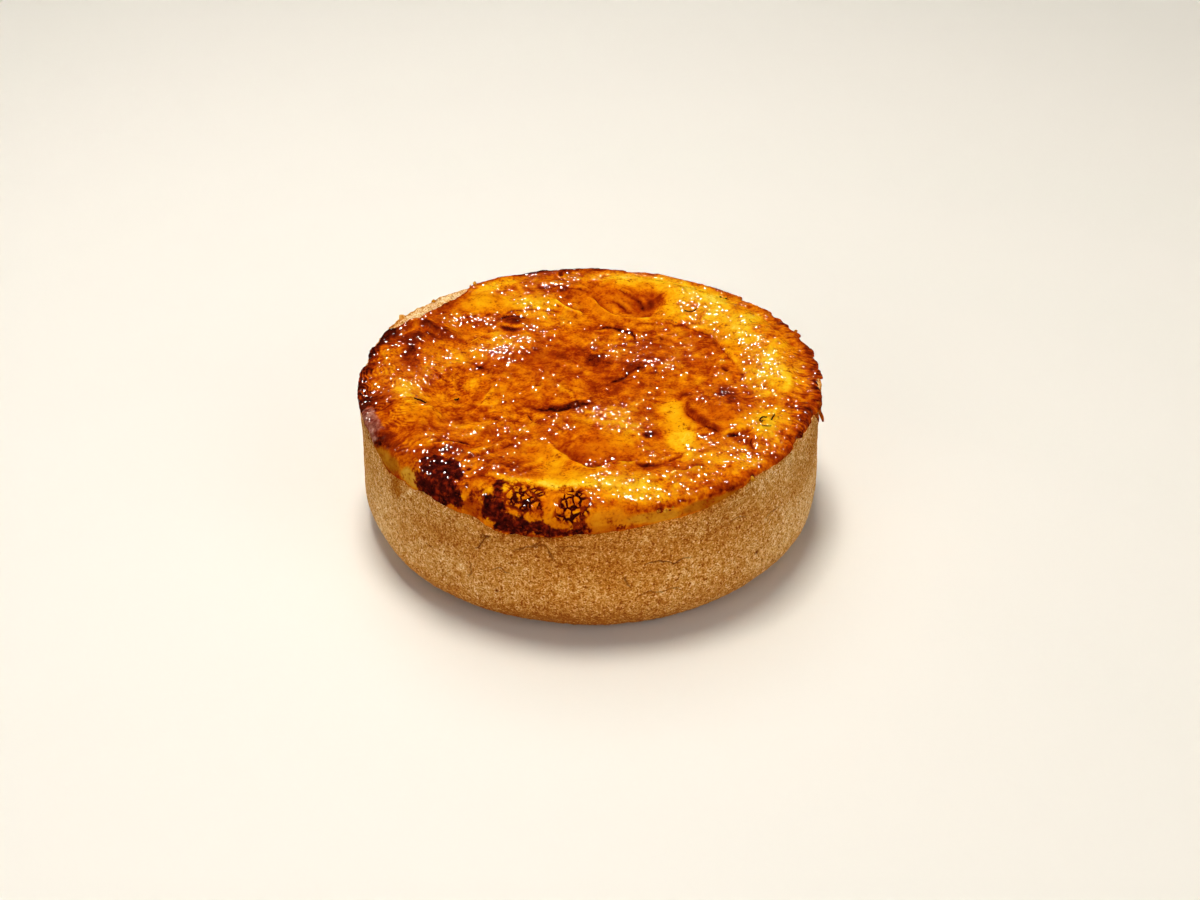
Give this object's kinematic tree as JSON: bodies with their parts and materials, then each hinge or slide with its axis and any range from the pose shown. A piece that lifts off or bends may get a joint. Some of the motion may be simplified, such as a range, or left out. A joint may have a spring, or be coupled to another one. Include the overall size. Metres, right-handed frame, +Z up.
{
  "type": "quiche lorraine",
  "caption": "Deep round one-portion quiche: straight-sided shortcrust shell with a slumped rim, filled with browned, glossy, uneven baked custard that laps over the edge.",
  "frame": {"origin": "middle of the flat base, on the surface it rests on", "axes": "+Z up, -Y towards the front, where the rim has slumped lowest, +X to the right seen from the front"},
  "size_m": [0.1078, 0.1079, 0.038],
  "materials": {
    "shortcrust": "matt baked shortcrust, sandy, with fine tan and brown flecks",
    "baked_custard": "baked egg custard, yellow to red-brown, burnt in places, with an oily gloss"
  },
  "bodies": {
    "root": {"pastry_shell": "shortcrust", "custard_filling": "baked_custard"}
  },
  "joints": []
}
